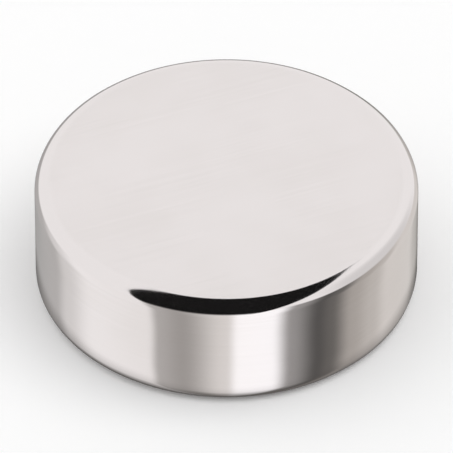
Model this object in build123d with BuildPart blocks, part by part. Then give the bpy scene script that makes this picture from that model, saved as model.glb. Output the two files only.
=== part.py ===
from build123d import *
import os

# A sintered disc magnet, lying flat on one of its two pole faces.
# Millimetres, +Z up along the disc's axis, and the origin is the centre of the face it lies on.

# Driving dimensions
disc_diameter = 12.0
disc_thickness = 4.0
lower_edge_radius = 0.45
upper_edge_radius = 0.45

# Places that follow from them
rim_radius = disc_diameter / 2
lower_face_radius = rim_radius - lower_edge_radius
upper_face_radius = rim_radius - upper_edge_radius
upper_edge_start = disc_thickness - upper_edge_radius

# Where the half section's corners lie, as (distance from the axis, height)
lower_centre = (0, 0)
lower_face_end = (lower_face_radius, 0)
rim_bottom = (rim_radius, lower_edge_radius)
rim_top = (rim_radius, upper_edge_start)
upper_face_end = (upper_face_radius, disc_thickness)
upper_centre = (0, disc_thickness)

# The disc is its half section turned once round the axis: two ground pole faces,
# a ground rim, and an edge at each face that tumbling has worn to an even round.
with BuildPart() as disc_magnet:
    with BuildSketch(Plane.XZ) as half_section:
        with BuildLine() as outline:
            lower_face = Line(lower_centre, lower_face_end)
            lower_edge = TangentArc(lower_face_end, rim_bottom, tangent=lower_face % 1)
            rim = Line(rim_bottom, rim_top)
            upper_edge = TangentArc(rim_top, upper_face_end, tangent=rim % 1)
            upper_face = Line(upper_face_end, upper_centre)
            axis_side = Line(upper_centre, lower_centre)
        make_face()
    revolve(axis=Axis.Z)

disc_magnet.part.label = "disc_magnet"

os.makedirs("parts", exist_ok=True)
export_step(disc_magnet.part, "parts/disc_magnet.step")
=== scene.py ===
from math import cos, pi, radians, sin

import bmesh
import bpy
from mathutils import Matrix, Vector, noise


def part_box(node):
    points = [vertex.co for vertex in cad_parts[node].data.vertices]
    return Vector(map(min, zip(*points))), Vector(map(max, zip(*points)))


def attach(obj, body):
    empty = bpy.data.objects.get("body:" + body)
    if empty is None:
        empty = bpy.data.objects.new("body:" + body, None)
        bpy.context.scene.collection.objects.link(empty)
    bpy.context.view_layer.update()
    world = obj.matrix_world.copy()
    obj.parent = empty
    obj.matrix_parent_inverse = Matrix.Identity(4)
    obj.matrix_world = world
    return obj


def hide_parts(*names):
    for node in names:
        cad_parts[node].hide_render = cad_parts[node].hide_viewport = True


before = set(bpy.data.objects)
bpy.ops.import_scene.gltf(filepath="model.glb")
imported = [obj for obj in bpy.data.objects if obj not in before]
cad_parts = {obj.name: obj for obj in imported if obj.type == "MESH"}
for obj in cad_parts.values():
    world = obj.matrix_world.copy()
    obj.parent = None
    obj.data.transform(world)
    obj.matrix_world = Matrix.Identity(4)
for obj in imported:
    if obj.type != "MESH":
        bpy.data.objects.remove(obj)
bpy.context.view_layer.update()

mm = 0.001
mergeDistance = 0.002 * mm     # points closer together than this become one

# The disc's sizes, read from the frame
discLow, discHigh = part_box("disc_magnet")
rimRadius = (discHigh.x - discLow.x) / 2
thickness = discHigh.z - discLow.z
discMiddle = (discLow + discHigh) / 2


# Helpers for nodes and materials

def feed(tree, socket, value):
    # a link from another node's output, or else a plain setting
    if isinstance(value, bpy.types.NodeSocket):
        tree.links.new(value, socket)
    else:
        socket.default_value = value


def addNode(tree, kind, values=None, **settings):
    node = tree.nodes.new(kind)
    for name, value in settings.items():
        setattr(node, name, value)
    for name, value in (values or {}).items():
        feed(tree, node.inputs[name], value)
    return node


def addMath(tree, operation, *values):
    node = addNode(tree, "ShaderNodeMath", operation=operation)
    for socket, value in zip(node.inputs, values):
        feed(tree, socket, value)
    return node.outputs["Value"]


def addSmoothRange(tree, value, low, high, lowOut=0.0, highOut=1.0):
    ends = {"Value": value, "From Min": low, "From Max": high, "To Min": lowOut, "To Max": highOut}
    return addNode(tree, "ShaderNodeMapRange", ends, interpolation_type="SMOOTHSTEP").outputs["Result"]


def mixColours(tree, amount, first, second):
    # 0, 6, 7 and 2 are the Mix node's factor, two colours and mixed colour
    return addNode(tree, "ShaderNodeMix", {0: amount, 6: first, 7: second}, data_type="RGBA").outputs[2]


def objectPlace(tree):
    return addNode(tree, "ShaderNodeTexCoord").outputs["Object"]


def splitAxes(tree, place):
    return addNode(tree, "ShaderNodeSeparateXYZ", {"Vector": place}).outputs


def distanceFromAxis(tree, axes):
    squares = [addMath(tree, "MULTIPLY", axes[name], axes[name]) for name in "XY"]
    return addMath(tree, "SQRT", addMath(tree, "ADD", *squares))


def newMaterial(name):
    material = bpy.data.materials.new(name)
    material.use_nodes = True
    material.node_tree.nodes.clear()
    return material, material.node_tree


def finishMaterial(tree, shader):
    addNode(tree, "ShaderNodeOutputMaterial", {"Surface": shader})


def finishWithGlow(tree, colour, amount):
    # an even colour where the amount is 1, and see-through where it is 0
    glow = addNode(tree, "ShaderNodeEmission", {"Color": (*colour, 1), "Strength": 1.0})
    through = addNode(tree, "ShaderNodeBsdfTransparent")
    blend = addNode(tree, "ShaderNodeMixShader",
                    {0: amount, 1: through.outputs["BSDF"], 2: glow.outputs["Emission"]})
    finishMaterial(tree, blend.outputs["Shader"])


# Helpers for meshes and places

def meshObject(name, bm):
    mesh = bpy.data.meshes.new(name)
    bm.to_mesh(mesh)
    bm.free()
    obj = bpy.data.objects.new(name, mesh)
    bpy.context.scene.collection.objects.link(obj)
    return obj


def stretchTo(bm, vertex, place, pieces):
    # a straight stretch of a section, in even pieces
    start = vertex.co.copy()
    for index in range(pieces):
        new = bm.verts.new(start.lerp(Vector(place), (index + 1) / pieces))
        bm.edges.new((vertex, new))
        vertex = new
    return vertex


def turnSection(bm, steps):
    # the whole section, once round the disc's axis
    bmesh.ops.spin(bm, geom=bm.verts[:] + bm.edges[:], cent=(0, 0, 0), axis=(0, 0, 1), angle=2 * pi,
                   steps=steps, use_merge=True, use_duplicate=False)


def onlyInReflections(obj):
    obj.visible_camera = False
    obj.visible_diffuse = False
    obj.visible_shadow = False
    obj.visible_transmission = False


def directionTo(azimuth, elevation):
    a, e = radians(azimuth), radians(elevation)
    return Vector((sin(a) * cos(e), -cos(a) * cos(e), sin(e)))


def shareOfWay(value, start, end):
    # 0 up to the start, 1 from the end on, and even between them
    return min(max((value - start) / (end - start), 0), 1)


# Camera: the photo looks down on the pole face at 42 degrees, from about 26 diameters away
camera = {
    "azimuth": -22.0,
    "elevation": 41.7,
    "distance": 306 * mm,
    "viewWidth": 14.2 * mm,
    "clipStart": 10 * mm,
    "clipEnd": 2000 * mm,
}


def makeCamera():
    data = bpy.data.cameras.new("camera")
    data.lens = data.sensor_width * camera["distance"] / camera["viewWidth"]
    data.clip_start = camera["clipStart"]
    data.clip_end = camera["clipEnd"]
    obj = bpy.data.objects.new("camera", data)
    bpy.context.scene.collection.objects.link(obj)
    back = directionTo(camera["azimuth"], camera["elevation"])
    turn = (-back).to_track_quat("-Z", "Y")
    obj.matrix_world = Matrix.LocRotScale(discMiddle + back * camera["distance"], turn, None)
    bpy.context.scene.camera = obj
    print("camera placed")


# Nickel plating
nickel = {
    "colour": (0.808, 0.765, 0.759),
    "warmColour": (0.778, 0.735, 0.725),
    "warmSize": 3.5 * mm,       # of the patches that turn warmer
    "warmStart": 0.55,
    "warmFull": 1.05,
    "lineWarmth": 0.6,          # how much the ground lines count in them
    "faceRoughness": 0.18,
    "edgeRoughness": 0.08,
    "rimRoughness": 0.09,
    "roughnessSpread": 0.04,
    "roughnessSize": 0.6 * mm,
    "grainSize": 0.06 * mm,
    "grainHeight": 0.0002 * mm,
    "lineWidth": 0.045 * mm,
    "lineLength": 5 * mm,
    "lineHeight": 0.0004 * mm,
    "waveSize": 2.4 * mm,
    "waveHeight": 0.008 * mm,
    # the finish of the faces and of the rim gives way to the edge's between these two distances
    # past the line where the edge starts
    "faceBlend": (-0.10 * mm, 0.12 * mm),
    "rimBlend": (-0.08 * mm, 0.12 * mm),
}


def newHeightGroup(name, inputs):
    # a node group that puts out one height, which changes over the surface
    group = bpy.data.node_groups.new(name, "ShaderNodeTree")
    for inputName, kind in inputs.items():
        group.interface.new_socket(inputName, in_out="INPUT", socket_type=kind)
    group.interface.new_socket("Height", in_out="OUTPUT", socket_type="NodeSocketFloat")
    return group, addNode(group, "NodeGroupInput").outputs


def makeGrainGroup():
    # fine grain of the plating, or slower waves at a larger size
    group, given = newHeightGroup("platingGrain", {
        "Vector": "NodeSocketVector", "Scale": "NodeSocketFloat", "Detail": "NodeSocketFloat"})
    grain = addNode(group, "ShaderNodeTexNoise", {
        "Vector": given["Vector"], "Scale": given["Scale"], "Detail": given["Detail"], "Roughness": 0.6})
    addNode(group, "NodeGroupOutput", {"Height": grain.outputs["Fac"]})
    return group


def makeLineGroup():
    # faint ground lines: noise drawn out along two of the three axes
    group, given = newHeightGroup("groundLines", {
        "Vector": "NodeSocketVector", "Stretch": "NodeSocketVector"})
    drawn = addNode(group, "ShaderNodeVectorMath", {0: given["Vector"], 1: given["Stretch"]},
                    operation="MULTIPLY")
    lines = addNode(group, "ShaderNodeTexNoise", {
        "Vector": drawn.outputs["Vector"], "Scale": 1.0, "Detail": 3.0, "Roughness": 0.55})
    addNode(group, "NodeGroupOutput", {"Height": lines.outputs["Fac"]})
    return group


def placeGroup(tree, group, place, values):
    node = addNode(tree, "ShaderNodeGroup", {"Vector": place, **values}, node_tree=group)
    return node.outputs["Height"]


def maskUpTo(tree, distance, end, blend):
    # 1 up to the end and 0 beyond it
    return addSmoothRange(tree, distance, end + blend[0], end + blend[1], 1.0, 0.0)


def addBump(tree, height, distance, normal=None):
    bump = addNode(tree, "ShaderNodeBump", {"Strength": 1.0, "Distance": distance, "Height": height})
    if normal is not None:
        tree.links.new(normal, bump.inputs["Normal"])
    return bump.outputs["Normal"]


def makeNickel(edgeRadius):
    material, tree = newMaterial("nickelPlating")
    place = objectPlace(tree)
    axes = splitAxes(tree, place)

    # Masks: the flat pole faces by distance from the axis, the rim by height
    fromAxis = distanceFromAxis(tree, axes)
    fromMiddle = addMath(tree, "ABSOLUTE", addMath(tree, "SUBTRACT", axes["Z"], thickness / 2))
    faceMask = maskUpTo(tree, fromAxis, rimRadius - edgeRadius, nickel["faceBlend"])
    rimMask = maskUpTo(tree, fromMiddle, thickness / 2 - edgeRadius, nickel["rimBlend"])

    # Heights: slow waves, straight lines on the faces, lines round the rim, grain everywhere
    grainGroup = makeGrainGroup()
    lineGroup = makeLineGroup()
    along = 1 / nickel["lineLength"]
    across = 1 / nickel["lineWidth"]
    waves = placeGroup(tree, grainGroup, place, {"Scale": 1 / nickel["waveSize"], "Detail": 1.0})
    faceLines = placeGroup(tree, lineGroup, place, {"Stretch": (along, across, along)})
    rimLines = placeGroup(tree, lineGroup, place, {"Stretch": (along, along, across)})
    grain = placeGroup(tree, grainGroup, place, {"Scale": 1 / nickel["grainSize"], "Detail": 3.0})
    lines = addMath(tree, "ADD",
                    addMath(tree, "MULTIPLY", faceLines, faceMask),
                    addMath(tree, "MULTIPLY", rimLines, rimMask))
    normal = addBump(tree, waves, nickel["waveHeight"])
    normal = addBump(tree, lines, nickel["lineHeight"], normal)
    normal = addBump(tree, grain, nickel["grainHeight"], normal)

    # Roughness: satin faces, brighter rim and edges, all a little uneven with noise around its middle
    mottle = placeGroup(tree, grainGroup, place, {"Scale": 1 / nickel["roughnessSize"], "Detail": 4.0})
    faceStep = nickel["faceRoughness"] - nickel["edgeRoughness"]
    rimStep = nickel["rimRoughness"] - nickel["edgeRoughness"]
    level = addMath(tree, "ADD",
                    addMath(tree, "MULTIPLY", faceMask, faceStep),
                    addMath(tree, "MULTIPLY", rimMask, rimStep))
    uneven = addMath(tree, "MULTIPLY", addMath(tree, "SUBTRACT", mottle, 0.5), nickel["roughnessSpread"])
    roughness = addMath(tree, "ADD", addMath(tree, "ADD", level, uneven), nickel["edgeRoughness"])

    # Colour: pale warm silver that drifts slightly warmer in places
    drift = placeGroup(tree, grainGroup, place, {"Scale": 1 / nickel["warmSize"], "Detail": 2.0})
    patches = addMath(tree, "ADD", drift, addMath(tree, "MULTIPLY", lines, nickel["lineWarmth"]))
    warmth = addSmoothRange(tree, patches, nickel["warmStart"], nickel["warmFull"])
    colour = mixColours(tree, warmth, (*nickel["colour"], 1), (*nickel["warmColour"], 1))

    surface = addNode(tree, "ShaderNodeBsdfPrincipled", {
        "Metallic": 1.0, "Base Color": colour, "Roughness": roughness, "Normal": normal})
    finishMaterial(tree, surface.outputs["BSDF"])
    return material


# Disc magnet: its half section is drawn out and turned round the axis
disc = {
    "edgeRadius": 0.45 * mm,
    "edgeSteps": 14,
    "turnSteps": 288,
    "middleRings": 3,
    "faceRings": 9,
    "rimRings": 4,
    "faceFall": 0.003 * mm,     # how far the face drops by the time it meets the edge
    "faceFallWidth": 1.1 * mm,
    "edgeUnevenness": 0.012 * mm,
    "edgeUnevenSize": 2.5 * mm,
}


def roundEdge(bm, vertex, centre):
    # a quarter turn in the XZ plane, which draws one rounded edge of the section
    done = bmesh.ops.spin(bm, geom=[vertex], cent=centre, axis=(0, 1, 0), angle=pi / 2,
                          steps=disc["edgeSteps"], use_merge=False, use_duplicate=False)
    return next(v for v in done["geom_last"] if isinstance(v, bmesh.types.BMVert))


def wearVertex(vertex, flatRadius):
    # tumbling leaves the faces falling away slightly towards an edge that isn't quite even
    rimHalf = thickness / 2 - disc["edgeRadius"]
    if abs(vertex.co.z - thickness / 2) <= rimHalf:
        return
    side = 1 if vertex.co.z > thickness / 2 else -1
    fromAxis = vertex.co.xy.length
    fallen = shareOfWay(fromAxis, flatRadius - disc["faceFallWidth"], flatRadius) ** 2
    vertex.co.z -= side * disc["faceFall"] * fallen
    if fromAxis <= flatRadius + mergeDistance:
        return
    centre = Vector((*(vertex.co.xy.normalized() * flatRadius), thickness / 2 + side * rimHalf))
    outward = (vertex.co - centre).normalized()
    height = noise.noise(vertex.co / disc["edgeUnevenSize"]) * disc["edgeUnevenness"]
    # the edge only loses metal, and most of it halfway between face and rim
    halfway = sin(pi * shareOfWay(outward.z * side, 0, 1))
    vertex.co += outward * (min(height, 0) * halfway)


def makeDisc():
    r = disc["edgeRadius"]
    flatRadius = rimRadius - r
    fallStart = flatRadius - disc["faceFallWidth"]
    bm = bmesh.new()
    last = bm.verts.new((0, 0, thickness))
    last = stretchTo(bm, last, (fallStart, 0, thickness), disc["middleRings"])
    last = stretchTo(bm, last, (flatRadius, 0, thickness), disc["faceRings"])
    last = roundEdge(bm, last, (flatRadius, 0, thickness - r))
    last = stretchTo(bm, last, (rimRadius, 0, r), disc["rimRings"])
    last = roundEdge(bm, last, (flatRadius, 0, r))
    last = stretchTo(bm, last, (fallStart, 0, 0), disc["faceRings"])
    stretchTo(bm, last, (0, 0, 0), disc["middleRings"])
    turnSection(bm, disc["turnSteps"])
    bmesh.ops.remove_doubles(bm, verts=bm.verts[:], dist=mergeDistance)
    for vertex in bm.verts:
        wearVertex(vertex, flatRadius)
    bmesh.ops.recalc_face_normals(bm, faces=bm.faces[:])
    for face in bm.faces:
        face.smooth = True
    obj = meshObject("discMagnet", bm)
    obj.data.materials.append(makeNickel(r))
    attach(obj, "root")
    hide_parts("disc_magnet")
    print("disc magnet made:", len(obj.data.polygons), "faces")


# Light tent: a shell that only reflections see, with panels round the disc and a bright top
tent = {
    "radius": 70 * mm,
    "fineness": 5,
    # turn from the camera's side in degrees, brightness, warmth
    "panels": [
        (-180, 0.34, 0.3),      # dim behind
        (-120, 0.52, 0.2),
        (-106, 0.76, 0.1),
        (-84, 1.01, 0.0),       # wide white card on the left
        (-46, 0.97, 0.1),
        (-39, 0.50, 0.4),       # grey card beside the camera
        (-25, 0.41, 0.6),
        (0, 0.82, 0.4),
        (7, 1.20, -0.2),        # bright strip
        (26, 1.20, -0.3),
        (37, 0.36, 0.2),        # dark card
        (54, 0.11, 0.5),
        (63, 0.16, 0.8),
        (78, 0.47, 1.0),        # warm wall on the right
        (94, 0.60, 0.8),
        (108, 0.76, 0.6),
        (136, 0.74, 0.6),
        (150, 0.54, 0.7),
        (166, 0.26, 0.9),       # dim behind again
        (180, 0.34, 0.3),
    ],
    "warmthTakes": (0.0, 0.04, 0.10),   # shares of red, green and blue that a warmth of 1 takes away
    # where the panels end and the bright top begins, as the sine of the elevation
    "topStart": -0.02,
    "topFull": 0.12,
    "topBright": 0.985,
    # one side of the top is shaded, and its middle is here
    "shadeTurn": 90,
    "shadeElevation": 15,
    # where the shade starts and where it is full, as the cosine of the angle from its middle
    "shadeStart": 0.72,
    "shadeFull": 0.98,
    "shadeBright": 0.76,
}


def addPanels(tree, direction):
    # a ramp round the disc, turned so that the camera's side is at its middle
    toMiddle = (0, 0, radians(90 - camera["azimuth"]))
    turned = addNode(tree, "ShaderNodeMapping", {"Vector": direction, "Rotation": toMiddle},
                     vector_type="POINT")
    around = addNode(tree, "ShaderNodeTexGradient", {"Vector": turned.outputs["Vector"]},
                     gradient_type="RADIAL")
    ramp = addNode(tree, "ShaderNodeValToRGB", {"Fac": around.outputs["Fac"]})
    ramp.color_ramp.interpolation = "EASE"
    stops = ramp.color_ramp.elements
    while len(stops) > 1:
        stops.remove(stops[-1])
    for index, (turn, bright, warmth) in enumerate(tent["panels"]):
        position = turn / 360 + 0.5
        stop = stops[0] if index == 0 else stops.new(position)
        stop.position = position
        stop.color = (*(bright * (1 - share * warmth) for share in tent["warmthTakes"]), 1)
    return ramp.outputs["Color"]


def makeTentMaterial():
    material, tree = newMaterial("lightTent")
    unit = addNode(tree, "ShaderNodeVectorMath", {0: objectPlace(tree)}, operation="NORMALIZE")
    direction = unit.outputs["Vector"]
    panels = addPanels(tree, direction)

    # Above the panels the tent is evenly bright, with a shaded side
    shadeSide = directionTo(camera["azimuth"] + tent["shadeTurn"], tent["shadeElevation"])
    facing = addNode(tree, "ShaderNodeVectorMath", {0: direction, 1: shadeSide}, operation="DOT_PRODUCT")
    top = addSmoothRange(tree, facing.outputs["Value"], tent["shadeStart"], tent["shadeFull"],
                         tent["topBright"], tent["shadeBright"])
    inTop = addSmoothRange(tree, splitAxes(tree, direction)["Z"], tent["topStart"], tent["topFull"])
    colour = mixColours(tree, inTop, panels, top)
    glow = addNode(tree, "ShaderNodeEmission", {"Color": colour, "Strength": 1.0})
    finishMaterial(tree, glow.outputs["Emission"])
    return material


def makeTent():
    bm = bmesh.new()
    bmesh.ops.create_icosphere(bm, subdivisions=tent["fineness"], radius=tent["radius"])
    bmesh.ops.reverse_faces(bm, faces=bm.faces[:])
    obj = meshObject("lightTent", bm)
    obj.data.materials.append(makeTentMaterial())
    onlyInReflections(obj)
    print("light tent made")


# Black cloth: hung over the camera, where the disc's front edge mirrors it as a dark wedge
cloth = {
    "distance": 58 * mm,
    "colour": (0.008, 0.008, 0.008),
    # where the wedge lies on the edge, in degrees of turn from the camera's side
    "startTurn": -31.0,
    "fullTurn": -20.0,
    "taperTurn": -4.0,
    "endTurn": 45.0,
    # and in degrees of tilt, from 0 on the face to 90 on the rim
    "faceTilt": 6.0,
    "startTilt": 50.0,
    "rimTilt": 82.0,
    "startBend": 0.5,           # under 1 the start is round
    "taperBend": 1.6,           # over 1 the taper begins slowly
    # the cloth fades out downwards between these heights
    "hemHigh": 4 * mm,
    "hemLow": -11 * mm,
    "columns": 60,
    "rows": 16,
}


def wedgeTilts(turn):
    # the least and the most tilt that the wedge has at this turn
    begun = shareOfWay(turn, cloth["startTurn"], cloth["fullTurn"]) ** cloth["startBend"]
    tapered = shareOfWay(turn, cloth["taperTurn"], cloth["endTurn"]) ** cloth["taperBend"]
    low = cloth["startTilt"] + (cloth["faceTilt"] - cloth["startTilt"]) * begun
    high = cloth["startTilt"] + (cloth["rimTilt"] - cloth["startTilt"]) * begun
    return low, low + (high - low) * (1 - tapered)


def makeCloth():
    toCamera = directionTo(camera["azimuth"], camera["elevation"])
    r = disc["edgeRadius"]
    bm = bmesh.new()
    bmesh.ops.create_grid(bm, x_segments=cloth["columns"], y_segments=cloth["rows"], size=0.5)
    for vertex in bm.verts:
        # across the grid is the turn, up the grid is the tilt
        across = vertex.co.x + 0.5
        up = vertex.co.y + 0.5
        turn = cloth["startTurn"] + (cloth["endTurn"] - cloth["startTurn"]) * across
        low, high = wedgeTilts(turn)
        tilt = low + (high - low) * up
        normal = directionTo(camera["azimuth"] + turn, 90 - tilt)
        outward = directionTo(camera["azimuth"] + turn, 0)
        onEdge = outward * (rimRadius - r) + Vector((0, 0, thickness - r)) + normal * r
        mirrored = 2 * normal.dot(toCamera) * normal - toCamera
        vertex.co = onEdge + mirrored * cloth["distance"]
    bmesh.ops.remove_doubles(bm, verts=bm.verts[:], dist=mergeDistance)
    obj = meshObject("blackCloth", bm)
    material, tree = newMaterial("blackCloth")
    height = splitAxes(tree, objectPlace(tree))["Z"]
    hem = addSmoothRange(tree, height, cloth["hemLow"], cloth["hemHigh"])
    finishWithGlow(tree, cloth["colour"], hem)
    obj.data.materials.append(material)
    onlyInReflections(obj)
    print("black cloth made")


# Gap ring: a painted contact shadow, a dark ring on the floor round the disc that only reflections see.
# It stands in for the shaded gap between disc and floor, which the lower rounded edge mirrors
gap = {
    # distances outwards from the rim
    "inner": -0.5 * mm,
    "fadeStart": -0.28 * mm,
    "outer": 0.7 * mm,
    # the painted shadow's darkness, where the floor would lie in the disc's shade
    "colour": (0.10, 0.095, 0.09),
    "steps": 96,
}


def makePaintedShadowRing():
    outerRadius = rimRadius + gap["outer"]
    bm = bmesh.new()
    inner = bm.verts.new((rimRadius + gap["inner"], 0, 0))
    stretchTo(bm, inner, (outerRadius, 0, 0), 1)
    turnSection(bm, gap["steps"])
    obj = meshObject("paintedShadowRing", bm)
    material, tree = newMaterial("paintedContactShadow")
    fromAxis = distanceFromAxis(tree, splitAxes(tree, objectPlace(tree)))
    # the painted shadow is fully dark near the rim and fades out beyond it
    fade = addSmoothRange(tree, fromAxis, rimRadius + gap["fadeStart"], outerRadius, 1.0, 0.0)
    finishWithGlow(tree, gap["colour"], fade)
    obj.data.materials.append(material)
    onlyInReflections(obj)
    print("gap ring made")


# Floor, white to the camera apart from the disc's shadow
floor = {
    "size": 4000 * mm,
    "colour": (0.93, 0.93, 0.93),
    "glow": 0.08,
}


def makeFloor():
    bm = bmesh.new()
    bmesh.ops.create_grid(bm, x_segments=1, y_segments=1, size=floor["size"] / 2)
    obj = meshObject("floor", bm)
    material, tree = newMaterial("paleFloor")
    paper = addNode(tree, "ShaderNodeBsdfDiffuse", {"Color": (*floor["colour"], 1)})
    seen = addNode(tree, "ShaderNodeLightPath").outputs["Is Camera Ray"]
    strength = addMath(tree, "MULTIPLY", seen, floor["glow"])
    glow = addNode(tree, "ShaderNodeEmission", {"Color": (1, 1, 1, 1), "Strength": strength})
    both = addNode(tree, "ShaderNodeAddShader", {0: paper.outputs["BSDF"], 1: glow.outputs["Emission"]})
    finishMaterial(tree, both.outputs["Shader"])
    obj.data.materials.append(material)
    obj.visible_glossy = False
    print("floor made")


# Lamps, which light the floor
lamps = {
    "key": {"azimuth": 60, "elevation": 62, "spread": 50, "strength": 1.0},
    "fill": {"azimuth": -120, "elevation": 50, "spread": 70, "strength": 0.6},
}


def makeLamps():
    for name, lamp in lamps.items():
        data = bpy.data.lights.new(name, "SUN")
        data.angle = radians(lamp["spread"])
        data.energy = lamp["strength"]
        obj = bpy.data.objects.new(name, data)
        bpy.context.scene.collection.objects.link(obj)
        back = directionTo(lamp["azimuth"], lamp["elevation"])
        obj.matrix_world = Matrix.LocRotScale(back, back.to_track_quat("Z", "Y"), None)
        obj.visible_glossy = False


# Sky, white where it is seen or mirrored, and dimmer where it lights the floor
sky = {
    "floorLevel": 0.55,
}


def makeSky():
    world = bpy.data.worlds.new("sky")
    world.use_nodes = True
    tree = world.node_tree
    tree.nodes.clear()
    path = addNode(tree, "ShaderNodeLightPath")
    level = sky["floorLevel"]
    for ray in ("Is Camera Ray", "Is Glossy Ray", "Is Transmission Ray"):
        level = addMath(tree, "MAXIMUM", path.outputs[ray], level)
    light = addNode(tree, "ShaderNodeBackground", {"Color": (1, 1, 1, 1), "Strength": level})
    addNode(tree, "ShaderNodeOutputWorld", {"Surface": light.outputs["Background"]})
    bpy.context.scene.world = world
    print("lamps and sky made")


makeCamera()
makeDisc()
makeTent()
makeCloth()
makePaintedShadowRing()
makeFloor()
makeLamps()
makeSky()
bpy.context.scene.view_settings.view_transform = "Standard"
